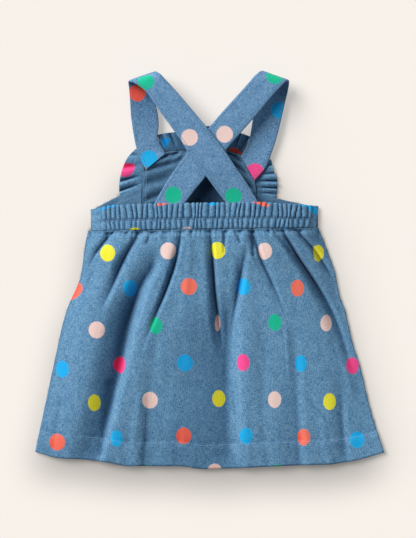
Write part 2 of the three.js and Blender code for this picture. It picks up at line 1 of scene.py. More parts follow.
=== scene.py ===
import bpy
import math
import numpy as np
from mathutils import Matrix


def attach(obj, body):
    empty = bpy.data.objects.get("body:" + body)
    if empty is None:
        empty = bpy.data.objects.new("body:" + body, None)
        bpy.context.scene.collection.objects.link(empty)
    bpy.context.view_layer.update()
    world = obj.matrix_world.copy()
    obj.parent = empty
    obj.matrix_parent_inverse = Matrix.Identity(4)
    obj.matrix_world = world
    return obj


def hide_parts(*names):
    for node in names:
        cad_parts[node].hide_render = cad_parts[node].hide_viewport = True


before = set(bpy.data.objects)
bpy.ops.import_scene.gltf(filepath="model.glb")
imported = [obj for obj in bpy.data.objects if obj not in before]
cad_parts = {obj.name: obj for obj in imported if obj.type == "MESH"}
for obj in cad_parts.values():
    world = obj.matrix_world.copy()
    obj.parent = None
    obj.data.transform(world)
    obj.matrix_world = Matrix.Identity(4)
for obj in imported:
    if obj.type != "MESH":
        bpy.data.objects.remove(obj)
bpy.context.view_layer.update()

# Thickness of the cloth, of a frill's two layers and of a strap's, and the space left at a seam
MM = 0.001
CLOTH = 1.2
DOUBLED = 1.6
STRAP = 2.0
SEAM = 0.3
STRAP_WIDTH = 30.0
THREAD = 0.26  # half the thickness of a stitch

# Skirt and waist: the waist seam rises from its ends to its crown over the puffed back
HEM_DEPTH = 26
SKIRT_LENGTH = 264
WIDENED = 0.8  # share of the way down by which a fold has its low width
WAIST_PUFF = 2.6  # how much further the cloth puffs up just below the seam
PLEAT_DEPTH = 1.3  # of the pleats that run down from the band
HEM_DIP = 0.8  # how far the hem's stitches draw the cloth in
LEAST_SPACE = 1.4  # between the skirt's back and front
WAIST_Y = 45
WAIST_TILT = 0.014
WAIST_CENTRE = -5.7
WAIST_HALF = 125.3
WAIST_SIDE_Z = 3.8
WAIST_CROWN_Z = 18.2

# Band over the elastic: its gathers, and the share of the way down where its channel is stitched
GATHERS = 44
GATHER_HEIGHT = 3.1
CASING_STITCH = 0.6
BAND_LEFT = (-131.1, -128.8)
BAND_RIGHT = (119.6, 117.2)
BAND_SHIFTS = [(0.0042, 33, 0), (0.0026, 71, 1), (0.0016, 119, 0)]  # how far, how often, start

# Bib: how high its middle and its side seams lie, its side folds and its gathers at the neck
BIB_PUFF = 2.4
BIB_SEAM_Z = (6.5, 4.4)
BIB_FOLD, BIB_FOLDS = 1.6, 6.5
NECK_GATHER, NECK_GATHERS = 0.8, 9
SIDE_HEM = 5.0  # of the side pieces, turned in along their upper edge

# How high the frills' feet lie, and where their folded edge and the straps are stitched
FRILL_FOOT_Z = 4.5
NECK_FOOT_Z = 3.6
FRILL_STITCH = 0.86
STRAP_STITCH = 2.6

# Print: a dot's radius, the steps of its repeat, and a distance at which there is no dot
DOT_RADIUS = 9.2
DOT_STEP = 77
ROW_STEP = 40.7
NO_DOT = 30.0

# Photograph: its size, one pixel in millimetres, and where the frame's zero lies in it
PHOTO_WIDTH, PHOTO_HEIGHT = 416, 538
PIXEL = 1.1
ZERO_PX, ZERO_PY = 209.7, 270.0

# The skirt's outline: share of the way down, left and right
SKIRT_SIDES = [
    (0, -133.9, 119.6),
    (0.05, -136.7, 124.9),
    (0.1, -138.4, 129.8),
    (0.2, -142.2, 138.7),
    (0.25, -146.7, 141.0),
    (0.3, -152.5, 143.9),
    (0.35, -157.6, 149.0),
    (0.4, -161.3, 151.9),
    (0.5, -167.0, 157.9),
    (0.6, -172.3, 165.7),
    (0.8, -182.5, 177.5),
    (1, -192.5, 192.5),
]
# The hem's edge: x and y
HEM_LINE = [
    (-192.5, -200.4),
    (-166.5, -207.2),
    (-138.5, -208.9),
    (-110.4, -212.4),
    (-90.9, -215.9),
    (-33.3, -216.2),
    (-5.2, -219.4),
    (35.4, -218.0),
    (98.6, -215.2),
    (130.8, -214.2),
    (161.7, -209.6),
    (192.5, -201.2),
]
# How high the skirt's back puffs up along its middle: share of the way down, height
BACK_CROWN = [(0, 18), (0.12, 20.5), (0.5, 19), (0.8, 14.5), (1, 5.0)]

# Folds from the waist: x at each level, then where each starts, is deepest and ends, its depth,
# and how wide its left and right walls are at the waist and low down
FOLD_LEVELS = [0, 0.12, 0.25, 0.4, 0.6, 0.8, 1]
BACK_FOLDS = [
    ([-106, -129, -141, -154, -165, -175, -185], -0.05, 0.06, 0.2, 5, (9, 9), (5, 5)),
    ([-76, -94, -109, -127, -143, -155, -165], -0.05, 0.14, 0.38, 7.5, (12, 12), (7, 7)),
    ([-56, -61, -78, -91, -102, -114, -129], 0, 0.4, 1.45, 17, (24, 30), (15, 13)),
    ([-31, -36.5, -47.5, -64, -84, -96, -106], -0.1, 0.2, 0.54, 7.5, (8, 8), (4.5, 4.5)),
    ([0, 3, 5.5, 10, 14, 16, 18], -0.1, 0.22, 0.55, 9, (9, 14), (4.5, 6)),
    ([16, 16, 16.5, 17.5, 16, 16.5, 18], 0.2, 0.46, 1.5, 11, (24, 92), (10, 26)),
    ([42, 37, 31, 24, 18, 18, 18], 0.02, 0.26, 0.48, 6, (10, 10), (8, 10)),
    ([46, 55, 70, 84, 92, 98, 100], -0.1, 0.08, 0.42, 5.5, (10, 12), (6, 8)),
    ([78, 97, 119, 139, 155, 168, 183], -0.06, 0.14, 0.66, 11, (12, 18), (5, 7)),
    ([93, 120, 138, 149, 162, 173.5, 188.5], -0.08, 0.1, 0.24, 5.5, (8, 8), (5, 5)),
    ([92, 92, 92, 92, 93, 95, 97], 0.28, 0.85, 1.6, 3, (12, 26), (7, 12)),
    ([140, 140, 141, 142, 143, 144, 149], 0.55, 0.9, 1.6, 3, (14, 14), (10, 10)),
    ([-60, -62, -64, -66, -68, -70, -74], 0.55, 0.85, 1.6, 3, (9, 9), (12, 30)),
]
# Round ridges between them: x at each level, where each starts, is highest and ends, its height
# and half width
BACK_RIDGES = [
    ([-98, -112, -122, -133, -142, -151, -158], 0.02, 0.45, 1.3, 4, 30),
    ([-40, -45, -55, -70, -86, -100, -115], 0.2, 0.5, 1.3, 3, 24),
    ([30, 32, 34, 38, 38, 38, 40], 0.3, 0.5, 1.2, 2.5, 22),
]
# Soft folds of the front: the same, with a half width at the waist and one low down
FRONT_FOLDS = [
    ([-100, -108, -118, -130, -142, -152, -160], -0.1, 0.06, 0.45, 2.0, 4, 7),
    ([-74, -79, -86, -94, -104, -112, -118], -0.1, 0.08, 0.6, 2.2, 4, 8),
    ([-46, -49, -53, -57, -62, -66, -70], -0.1, 0.06, 0.4, 2.0, 4, 7),
    ([-18, -19, -20, -22, -25, -27, -29], -0.1, 0.08, 0.55, 2.2, 4, 8),
    ([12, 13, 14, 15, 17, 18, 19], -0.1, 0.06, 0.42, 2.0, 4, 7),
    ([40, 43, 47, 51, 56, 60, 64], -0.1, 0.08, 0.62, 2.2, 4, 8),
    ([66, 71, 77, 85, 96, 105, 111], -0.1, 0.06, 0.4, 2.0, 4, 7),
    ([92, 100, 110, 121, 134, 145, 153], -0.1, 0.08, 0.5, 2.2, 4, 7),
]
# Short gathers below the waist: x, depth, and how far down they reach
SHORT_GATHERS = [
    (-113, 3.4, 0.06),
    (-92, 2.6, 0.06),
    (-79, 2.0, 0.05),
    (-62, 3.0, 0.06),
    (-48, 2.2, 0.08),
    (-20, 2.0, 0.05),
    (17, 2.6, 0.1),
    (33, 3.2, 0.07),
    (64, 2.6, 0.05),
    (100, 2.6, 0.06),
]
SHORT_GATHER_HALF = 4.5
# Small ridges and creases, from and to in pixels of the photograph: height and half width
SMALL_CREASES = [
    (286, 330, 289, 376, 0.7, 4),
    (308, 400, 334, 427, -0.7, 5),
    (233, 392, 235, 414, -0.6, 4),
    (203, 300, 214, 352, 0.6, 5),
    (140, 396, 133, 440, 0.8, 6),
    (96, 262, 84, 292, -0.8, 4),
    (338, 345, 352, 392, 0.7, 5),
    (255, 250, 268, 282, 0.9, 5),
    (190, 242, 186, 290, 0.7, 6),
    (60, 404, 52, 446, -0.6, 5),
    (262, 430, 268, 462, -0.6, 6),
    (180, 424, 176, 462, -0.5, 6),
    (322, 424, 330, 462, 0.7, 6),
    (110, 384, 103, 452, -1.5, 9),
    (140, 232, 120, 284, -1.3, 9),
    (252, 233, 253, 255, -2.0, 3.5),
    (224, 233, 224, 252, -1.2, 3),
    (236, 233, 240, 242, -1.6, 3.5),
    (151, 233, 147, 243, -1.6, 3.5),
    (158, 233, 157, 240, -1.2, 3),
    (114, 233, 98, 252, -1.2, 4),
    (275, 233, 290, 252, -1.4, 4),
]
# The band's upper edge: x and y
BAND_TOP = [
    (-131.1, 66.8),
    (-107.5, 70.5),
    (-72.3, 72.3),
    (-1.9, 73.5),
    (50.3, 74.2),
    (85.0, 72.3),
    (119.6, 70.4),
]
# The band's dots: where each lies in the photograph, and its colour
BAND_DOTS = [
    (113.5, 200.2, "blue"),
    (161.8, 198, "coral"),
    (210.5, 197.2, "blue"),
    (258, 198, "coral"),
    (303.5, 203.6, "blue"),
    (135.3, 236, "yellow"),
    (187.7, 235.2, "pink"),
    (285.7, 236, "blue"),
]
# The bib's sides from its top edge down: share, left, right
BIB_SIDES = [
    (0, -49.3, 35.3),
    (0.12, -59.6, 38.9),
    (0.23, -70.2, 43.4),
    (0.27, -73.2, 45.2),
    (0.34, -73.4, 49.6),
    (0.6, -74.3, 51.8),
    (1, -74.1, 53.7),
]
# Upper edges of the bib and of the side pieces: x and y
BIB_TOP = [(-49.3, 129.6), (-26.6, 132.1), (-5.2, 133.1), (16.8, 131.4), (35.3, 126.2)]
LEFT_SIDE_TOP = [(-130.9, 65.5), (-104.2, 79.6), (-74.7, 92.0)]
RIGHT_SIDE_TOP = [(52.6, 83.9), (98.7, 73.4), (119.4, 69.2)]

# Frills: foot x and y, free edge x and y
NECK_FRILL = [
    (-48.8, 130.4, -58.2, 149.0),
    (-38.0, 131.7, -46.0, 151.2),
    (-26.6, 132.8, -34.0, 152.4),
    (-15.0, 133.6, -18.5, 155.6),
    (-5.2, 133.9, -3.0, 158.4),
    (6.0, 133.3, 9.0, 157.6),
    (16.8, 132.2, 22.0, 154.8),
    (26.0, 129.7, 34.5, 150.8),
    (34.0, 127.0, 45.0, 147.2),
]
LEFT_FRILL = [
    (-78.3, 131.5, -81.6, 133.6),
    (-76.0, 125.0, -88.6, 126.4),
    (-73.4, 118.5, -93.4, 119.0),
    (-72.0, 111.5, -97.4, 107.5),
    (-72.8, 104.5, -99.4, 97.5),
    (-73.4, 97.5, -99.9, 89.0),
    (-73.6, 90.5, -98.6, 81.5),
    (-73.7, 84.0, -94.5, 75.5),
    (-73.7, 78.5, -86.0, 72.0),
]
RIGHT_FRILL = [
    (63.2, 119.5, 67.6, 122.0),
    (60.8, 113.5, 69.6, 114.0),
    (56.7, 107.0, 71.4, 107.2),
    (51.4, 101.0, 74.2, 101.5),
    (50.0, 95.0, 74.9, 94.0),
    (50.6, 88.5, 74.4, 87.5),
    (51.2, 83.0, 72.4, 80.5),
    (51.4, 78.5, 66.0, 74.0),
]
# Straps as sections from the bib over the shoulder to the waistband: a's x, y, z and b's x, y, z
LEFT_STRAP = [
    (-70.2, 110.3, 8.6, -48.7, 128.2, 6.5),
    (-77.2, 124.3, 7.3, -54.1, 138.2, 6.3),
    (-81.3, 136.4, 7.6, -57.3, 147.4, 7.6),
    (-84.2, 151.8, 8.6, -56.2, 158.4, 8.4),
    (-86.6, 169.4, 9.6, -57.1, 171.4, 8.8),
    (-87.6, 185.0, 10.2, -60.6, 189.0, 9.0),
    (-88.6, 198.0, 10.2, -61.6, 206.0, 9.2),
    (-89.2, 204.2, 12.4, -60.6, 214.4, 12.0),
    (-89.1, 207.0, 18.0, -59.2, 217.6, 18.2),
    (-85.6, 206.0, 23.6, -56.9, 216.4, 23.4),
    (-79.3, 203.0, 26.6, -53.3, 214.0, 26.6),
    (-70.3, 195.7, 27.6, -47.0, 207.2, 27.6),
    (-61.4, 183.8, 27.8, -38.6, 198.2, 27.8),
    (-53.5, 172.2, 27.6, -30.4, 188.8, 27.6),
    (-43.4, 158.4, 27.0, -19.6, 176.0, 27.2),
    (-32.7, 143.0, 26.4, -7.4, 161.5, 26.8),
    (-23.2, 128.6, 25.8, 4.2, 147.0, 26.4),
    (-13.4, 115.5, 25.0, 16.0, 131.6, 25.6),
    (-3.6, 102.2, 23.6, 26.7, 115.5, 24.4),
    (6.9, 88.0, 20.6, 39.4, 97.4, 21.2),
    (17.0, 74.6, 18.5, 51.6, 77.6, 17.5),
    (25.6, 62.7, 18.7, 57.6, 62.9, 17.4),
]
RIGHT_STRAP = [
    (34.4, 125.1, 7.3, 49.5, 98.4, 9.2),
    (40.2, 135.4, 6.3, 61.6, 112.6, 7.3),
    (44.2, 146.3, 7.6, 68.9, 131.0, 7.4),
    (46.2, 158.0, 8.2, 74.4, 148.0, 7.8),
    (48.4, 171.0, 8.6, 79.3, 168.0, 8.2),
    (52.0, 188.0, 8.8, 83.0, 184.3, 8.6),
    (55.0, 207.0, 9.0, 86.0, 197.0, 9.2),
    (56.6, 214.6, 11.8, 87.2, 204.6, 12.0),
    (56.6, 218.2, 18.0, 86.6, 208.0, 18.0),
    (53.6, 216.6, 23.2, 83.0, 206.0, 23.0),
    (48.4, 211.8, 26.0, 76.4, 199.2, 25.8),
    (41.4, 203.6, 26.8, 68.6, 190.4, 26.4),
    (31.4, 192.6, 26.6, 58.2, 178.2, 26.2),
    (19.6, 179.6, 25.8, 47.0, 164.9, 25.4),
    (4.7, 162.8, 24.0, 33.2, 149.4, 24.0),
    (-9.6, 145.2, 22.8, 18.5, 132.1, 22.6),
    (-21.7, 130.9, 22.2, 5.8, 116.6, 21.8),
    (-33.0, 117.4, 21.6, -4.8, 101.9, 21.2),
    (-46.4, 98.0, 20.4, -16.0, 88.0, 20.2),
    (-59.0, 76.6, 17.6, -26.4, 74.4, 18.6),
    (-65.6, 62.9, 17.6, -34.9, 62.7, 18.8),
]

# Print colours, as seen on the cloth
PRINT = {
    "yellow": (0.95, 0.92, 0.16),
    "pink": (0.96, 0.83, 0.80),
    "coral": (0.98, 0.46, 0.36),
    "blue": (0.05, 0.68, 0.92),
    "magenta": (0.97, 0.27, 0.56),
    "green": (0.01, 0.74, 0.57),
}
# The print repeats every four rows; each row of dots has two colours in turn
PRINT_ROWS = [("yellow", "pink"), ("coral", "blue"), ("pink", "green"), ("blue", "magenta")]

# Rows of dots on the skirt's back, charted: height, tilt and the two colours in turn from
# the left, then each dot's x with how much of its width the gathered cloth shows
SKIRT_DOTS = [
    ((21.5, 0.0, ("yellow", "pink")),
     [(-112, 0.95), (-45.5, 0.95), (8.2, 1), (60, 0.9), (119, 0.85)]),
    ((-18.0, 0.002, ("coral", "blue")),
     [(-154, 1), (-87.5, 0.9), (-22.9, 0.97), (36.7, 0.97), (96.2, 0.8)]),
    ((-58.5, 0.03, ("pink", "green")),
     [(-124, 0.97), (-59.2, 0.8), (8.6, 0.45), (71.5, 0.78), (128.2, 0.78)]),
    ((-101.5, 0.01, ("blue", "magenta")),
     [(-162, 0.86), (-97.6, 1.2), (-27.3, 0.98), (36.4, 0.8), (100, 0.7), (157, 0.8)]),
    ((-141.5, 0.006, ("yellow", "pink")),
     [(-127, 0.8), (-65.8, 0.97), (9.9, 0.8), (71.3, 0.78), (131.8, 0.78)]),
    ((-182.0, 0.006, ("coral", "blue")),
     [(-168, 1), (-102.2, 0.75), (-28.7, 0.92), (40, 0.8), (103.4, 0.8), (162.4, 0.9)]),
    ((-222.5, 0.006, ("green", "pink")),
     [(-67, 0.9), (5.5, 0.9), (75, 0.9), (140, 0.9)]),
]
ROW_SAG = 0.00023  # how much a row curves down towards its ends


def linear(rgb):
    c = np.asarray(rgb, dtype=float)
    return np.where(c <= 0.04045, c / 12.92, ((c + 0.055) / 1.055) ** 2.4)


def smooth(t, low, high):
    s = np.clip((t - low) / (high - low), 0, 1)
    return s * s * (3 - 2 * s)


def mix(a, b, t):
    return a + (b - a) * t


def bump(offset, half):
    t = np.abs(offset) / half
    return np.where(t >= 1, 0, (1 + np.cos(np.pi * np.minimum(t, 1))) / 2)


def curve(xs, ys, at):
    """The smooth curve through points that never overshoots its neighbours."""
    xs, ys, at = (np.asarray(v, dtype=float) for v in (xs, ys, at))
    step, rise = np.diff(xs), np.diff(ys)
    slope = rise / step
    tangent = np.concatenate([slope[:1], np.zeros(len(xs) - 2), slope[-1:]])
    pair = slope[:-1] * slope[1:]
    total = np.where(pair > 0, slope[:-1] + slope[1:], 1)
    tangent[1:-1] = np.where(pair > 0, 2 * pair / total, 0)
    i = np.clip(np.searchsorted(xs, at, side="right") - 1, 0, len(xs) - 2)
    t = np.clip((at - xs[i]) / step[i], 0, 1)
    bend = (1 - t) * (tangent[i] * step[i] - rise[i]) - t * (tangent[i + 1] * step[i] - rise[i])
    return ys[i] + rise[i] * t + t * (1 - t) * bend


def read(rows, column, at):
    table = np.array(rows, dtype=float)
    return curve(table[:, 0], table[:, column], at)


def through(rows, column, share):
    """The smooth curve through evenly spaced rows, at a share of the way along them."""
    table = np.array(rows, dtype=float)[:, column]
    last = len(table) - 1
    place = np.clip(share, 0, 1) * last
    i = np.minimum(np.floor(place).astype(int), last - 1)
    t = place - i
    a, b, c, d = (table[np.clip(i + k, 0, last)] for k in (-1, 0, 1, 2))
    return b + 0.5 * t * (c - a + t * (2 * a - 5 * b + 4 * c - d + t * (3 * (b - c) + d - a)))


def noise(seed, x, y):
    """Smooth random values from -1 to 1, changing about once in each unit of x and y."""
    size = 97
    values = np.random.default_rng(seed).uniform(-1, 1, (size, size))
    xi, yi = np.floor(x).astype(int), np.floor(y).astype(int)
    fx, fy = x - xi, y - yi
    fx, fy = fx * fx * (3 - 2 * fx), fy * fy * (3 - 2 * fy)
    rows = []
    for step in (0, 1):
        near, far = (values[(xi + k) % size, (yi + step) % size] for k in (0, 1))
        rows.append(mix(near, far, fx))
    return mix(*rows, fy)


def grid(across, along):
    shares = (np.linspace(0, 1, count + 1) for count in (across, along))
    return np.meshgrid(*shares, indexing="ij")


def stack(x, y, z):
    return np.stack(np.broadcast_arrays(x, y, z), axis=-1)


def normals(points):
    across = np.gradient(points, axis=0)
    along = np.gradient(points, axis=1)
    n = np.cross(along, across)
    return n / np.maximum(np.linalg.norm(n, axis=-1, keepdims=True), 1e-9)


def lengths(points):
    """Distances along the cloth, across from the middle column and down from the first row."""
    across = np.linalg.norm(np.diff(points, axis=0), axis=-1)
    along = np.linalg.norm(np.diff(points, axis=1), axis=-1)
    u = np.concatenate([np.zeros((1, points.shape[1])), np.cumsum(across, axis=0)])
    v = np.concatenate([np.zeros((points.shape[0], 1)), np.cumsum(along, axis=1)], axis=1)
    return u - u[points.shape[0] // 2], v


def ribbon(points):
    """The same for a strap, measured square to its middle line."""
    centre = points.mean(axis=0)
    step = np.gradient(centre, axis=0)
    tangent = step / np.linalg.norm(step, axis=-1, keepdims=True)
    run = np.concatenate([[0], np.cumsum(np.linalg.norm(np.diff(centre, axis=0), axis=-1))])
    up = normals(points).mean(axis=0)
    side = np.cross(up, tangent)
    side /= np.linalg.norm(side, axis=-1, keepdims=True)
    offset = points - centre
    return (offset * side).sum(axis=-1), run + (offset * tangent).sum(axis=-1)


def plain(shape):
    return np.full(shape, NO_DOT), np.full((*shape, 3), 0.5)


ON_CLOTH = 3  # a dot's centre that lies further out than this is past the cloth's end


def dots_at(points, marks, measure=lengths):
    """Each point's distance along the cloth from the nearest mark in plan, and that one's colour.

    A mark may name the part of the cloth's length that its dot lies on.
    """
    u, v = measure(points)
    far, colour = plain(u.shape)
    share = np.linspace(0, 1, points.shape[1])
    for x, y, name, *part in marks:
        low, high = part[0] if part else (0, 1)
        allowed = np.where((share >= low) & (share <= high), 0, 1e6)
        gap = np.hypot(points[..., 0] - x, points[..., 1] - y) + allowed
        i, j = np.unravel_index(np.argmin(gap), gap.shape)
        outward = np.array([x, y]) - points[i, j, :2]
        beyond = np.hypot(*outward)
        if beyond > ON_CLOTH:
            after, before = min(j + 1, points.shape[1] - 1), max(j - 1, 0)
            beyond *= np.sign(outward @ (points[i, after, :2] - points[i, before, :2]))
        else:
            beyond = 0
        d = np.hypot(u - u[i, j], v - (v[i, j] + beyond))
        d = np.where((share > low - 0.12) & (share < high + 0.12), d, NO_DOT)
        nearer = d < far
        far = np.where(nearer, d, far)
        colour[nearer] = linear(PRINT[name])
    return np.minimum(far, NO_DOT), colour


def dots_everywhere(points, shift_u=0.0, shift_v=0.0):
    """The print's own repeat over the cloth, for a side that the photograph doesn't show."""
    u, v = lengths(points)
    row = np.round((v + shift_v) / ROW_STEP).astype(int)
    place = (u + shift_u) / DOT_STEP - 0.5 * (row % 2)
    column = np.round(place).astype(int)
    d = np.hypot((place - column) * DOT_STEP, v + shift_v - row * ROW_STEP)
    colour = np.zeros((*u.shape, 3))
    for r, pair in enumerate(PRINT_ROWS):
        for k, name in enumerate(pair):
            colour[((row % 4) == r) & ((column % 2) == k)] = linear(PRINT[name])
    return np.minimum(d, NO_DOT), colour


def blurred(values, wide, long):
    """The values averaged over about that many columns and rows on each side."""
    for axis, reach in ((0, wide), (1, long)):
        kernel = np.hanning(2 * reach + 3)
        pads = [(0, 0), (0, 0)]
        pads[axis] = (reach + 1, reach + 1)
        padded = np.pad(values, pads, mode="edge")
        count = values.shape[axis]
        parts = (k * np.take(padded, range(i, i + count), axis=axis) for i, k in enumerate(kernel))
        values = sum(parts) / kernel.sum()
    return values


def hollows(height, scales):
    """How much light reaches each point: less where it lies below the cloth about it."""
    total = 0
    for wide, long, amount in scales:
        total = total + amount * np.maximum(0, blurred(height, wide, long) - height)
    return np.exp(-total)


def lee(points, steps, low, high):
    """How far each point lies in the shade of higher cloth to its upper left, from 0 to 1."""
    wide, long = points.shape[:2]
    steepest = np.zeros((wide, long))
    for k in range(1, steps + 1):
        i = np.clip(np.arange(wide) - k, 0, None)
        j = np.clip(np.arange(long) - round(0.7 * k), 0, None)
        step = points[np.ix_(i, j)] - points
        run = np.maximum(np.hypot(step[..., 0], step[..., 1]), 0.5)
        steepest = np.maximum(steepest, step[..., 2] / run)
    return smooth(steepest, low, high)


FACES = {}


def faces_of(*corners):
    """Faces, from one array of point numbers for each of their corners in turn."""
    return np.stack(corners, axis=-1).reshape(-1, len(corners))


def attribute(mesh, name, values, kind="FLOAT", key="value"):
    mesh.attributes.new(name, kind, "POINT").data.foreach_set(key, values)


def wall(
    name, points, out, inward, materials, dots_out=None, dots_in=None, measure=lengths, shade=1
):
    """A closed wall of cloth about the points, its outer and inner face in the given materials."""
    wide, long = points.shape[:2]
    n = normals(points)
    out, inward = (np.broadcast_to(a, (wide, long))[..., None] for a in (out, inward))
    sides = [points + n * out, points - n * inward]
    FACES[name] = (*sides, n)
    index = np.arange(wide * long).reshape(wide, long)
    a, b, c, d = index[:-1, :-1], index[:-1, 1:], index[1:, 1:], index[1:, :-1]
    top = faces_of(a, b, c, d)
    under = faces_of(a, d, c, b) + wide * long
    low = index + wide * long
    rims = [
        faces_of(index[:-1, 0], index[1:, 0], low[1:, 0], low[:-1, 0]),
        faces_of(index[1:, -1], index[:-1, -1], low[:-1, -1], low[1:, -1]),
        faces_of(index[0, :-1], low[0, :-1], low[0, 1:], index[0, 1:]),
        faces_of(index[-1, 1:], low[-1, 1:], low[-1, :-1], index[-1, :-1]),
    ]
    quads = np.concatenate([top, under, *rims])
    coords = np.concatenate([side.reshape(-1, 3) for side in sides]) * MM
    mesh = bpy.data.meshes.new(name)
    mesh.from_pydata(coords.tolist(), [], quads.tolist())
    for material in materials:
        mesh.materials.append(material)
    is_under = np.zeros(len(quads), dtype=int)
    is_under[len(top) : len(top) + len(under)] = 1
    mesh.polygons.foreach_set("material_index", is_under)
    mesh.polygons.foreach_set("use_smooth", np.ones(len(quads), dtype=bool))
    u, v = measure(points)
    uv = np.stack([u, -v], axis=-1).reshape(-1, 2) * MM
    loops = quads.reshape(-1)
    layer = mesh.uv_layers.new(name="Cloth")
    layer.data.foreach_set("uv", np.concatenate([uv, uv])[loops].ravel())
    dots = [dots_out or plain((wide, long)), dots_in or plain((wide, long))]
    far = np.concatenate([side[0].ravel() for side in dots])
    colour = np.concatenate([side[1].reshape(-1, 3) for side in dots])
    attribute(mesh, "dot", far)
    rgba = np.concatenate([colour, np.ones((len(colour), 1))], axis=1)
    attribute(mesh, "dot_rgb", rgba.ravel(), "FLOAT_COLOR", "color")
    # Painted shade: each point's share of light, which the cloth materials multiply into their
    # colour
    light = np.broadcast_to(shade, (wide, long)).astype(float).ravel()
    attribute(mesh, "light", np.concatenate([light, light]))
    return placed(name, mesh)


def placed(name, mesh):
    mesh.update()
    piece = bpy.data.objects.new(name, mesh)
    bpy.context.scene.collection.objects.link(piece)
    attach(piece, "root")
    return piece


def stitches(name, runs, length=2.5, gap=0.9):
    """Short raised threads, in runs that give points and the way out of the cloth at each."""
    coords, around = [], np.arange(6) * math.pi / 3
    rise = np.array([0.15, 0.8, 1, 0.8, 0.15])  # thickest in the middle of each stitch
    for path, up in runs:
        run = np.concatenate([[0], np.cumsum(np.linalg.norm(np.diff(path, axis=0), axis=-1))])
        starts = np.arange(1.5, run[-1] - length - 1, length + gap)
        at = starts[:, None] + length * np.array([0, 0.16, 0.5, 0.84, 1])
        place = np.stack([np.interp(at, run, path[:, k]) for k in range(3)], axis=-1)
        out = np.stack([np.interp(at, run, up[:, k]) for k in range(3)], axis=-1)
        out /= np.linalg.norm(out, axis=-1, keepdims=True)
        ahead = place[:, -1:] - place[:, :1]
        side = np.cross(ahead / np.linalg.norm(ahead, axis=-1, keepdims=True), out)
        thick = (THREAD * rise)[:, None, None]
        ring = np.cos(around)[:, None] * side[:, :, None]
        ring = ring + np.sin(around)[:, None] * out[:, :, None]
        coords.append((place + out * (0.3 * rise - 0.12)[:, None])[:, :, None] + ring * thick)
    coords = np.concatenate(coords)
    index = np.arange(coords[..., 0].size).reshape(coords.shape[:3])
    turned = np.roll(index, -1, axis=2)
    quads = faces_of(index[:, :-1], turned[:, :-1], turned[:, 1:], index[:, 1:])
    caps = np.concatenate([index[:, 0, ::-1], index[:, -1]])
    mesh = bpy.data.meshes.new(name)
    faces = quads.tolist() + caps.tolist()
    mesh.from_pydata((coords.reshape(-1, 3) * MM).tolist(), [], faces)
    mesh.materials.append(thread)
    mesh.polygons.foreach_set("use_smooth", np.ones(len(mesh.polygons), dtype=bool))
    piece = placed(name, mesh)


def face_column(name, share, face=0, axis=0):
    """A face's points at a share of the way across it, with the way out of the cloth there."""
    points, n = (np.moveaxis(FACES[name][k], axis, 0) for k in (face, 2))
    place = share * (len(points) - 1)
    i = int(place)
    line, out = (mix(a[i], a[i + 1], place - i) for a in (points, n))
    return line, out if face == 0 else -out


def face_row(name, share):
    """The same for the outer face, at a share of the way down it."""
    return face_column(name, share, axis=1)


# Materials
class Shader:
    """A node material under construction."""

    def __init__(self, name):
        self.material = bpy.data.materials.new(name)
        self.material.use_nodes = True
        self.tree = self.material.node_tree
        self.surface = next(n for n in self.tree.nodes if n.type == "BSDF_PRINCIPLED")

    def node(self, kind, inputs=None, **settings):
        made = self.tree.nodes.new(kind)
        for key, value in settings.items():
            setattr(made, key, value)
        for key, value in (inputs or {}).items():
            self.put(made.inputs[key], value)
        return made

    def put(self, socket, value):
        if isinstance(value, bpy.types.NodeSocket):
            self.tree.links.new(value, socket)
        else:
            socket.default_value = value

    def math(self, operation, a, b=0.0, c=0.0):
        return self.node("ShaderNodeMath", {0: a, 1: b, 2: c}, operation=operation).outputs[0]

    def blend(self, factor, a, b, kind="MIX"):
        made = self.node("ShaderNodeMix", data_type="RGBA", blend_type=kind)
        self.put(made.inputs[0], factor)
        self.put(made.inputs[6], a)
        self.put(made.inputs[7], b)
        return made.outputs[2]

    def spread(self, value, low, high, to_low=0.0, to_high=1.0):
        """The value's part between low and high, laid out between the other two numbers."""
        inputs = {0: value, 1: low, 2: high, 3: to_low, 4: to_high}
        return self.node("ShaderNodeMapRange", inputs).outputs[0]

    def grain(self, vector, scale_x, scale_y, detail=2.0, rough=0.5):
        inputs = {"Vector": vector, "Scale": (scale_x, scale_y, 1)}
        stretched = self.node("ShaderNodeMapping", inputs).outputs[0]
        inputs = {"Vector": stretched, "Scale": 1.0, "Detail": detail, "Roughness": rough}
        return self.node("ShaderNodeTexNoise", inputs, noise_dimensions="2D").outputs[0]

    def of_mesh(self, name, output="Fac"):
        return self.node("ShaderNodeAttribute", attribute_name=name).outputs[output]

    def finish(self, roughness, colour=None):
        if colour is not None:
            self.put(self.surface.inputs["Base Color"], colour)
        self.put(self.surface.inputs["Roughness"], roughness)
        self.put(self.surface.inputs["Specular IOR Level"], 0.2)
        return self.material


BLACK = (0, 0, 0, 1)
FLECK_RGB = (0.62, 0.74, 0.83)
THREAD_RGB = (0.56, 0.69, 0.81)
SHADE_POWERS = (1.3, 1.05, 0.88)  # red, green and blue: painted shade turns the cloth a deeper blue
DOT_EDGE = 0.35


def opaque(rgb):
    return (*linear(rgb), 1)


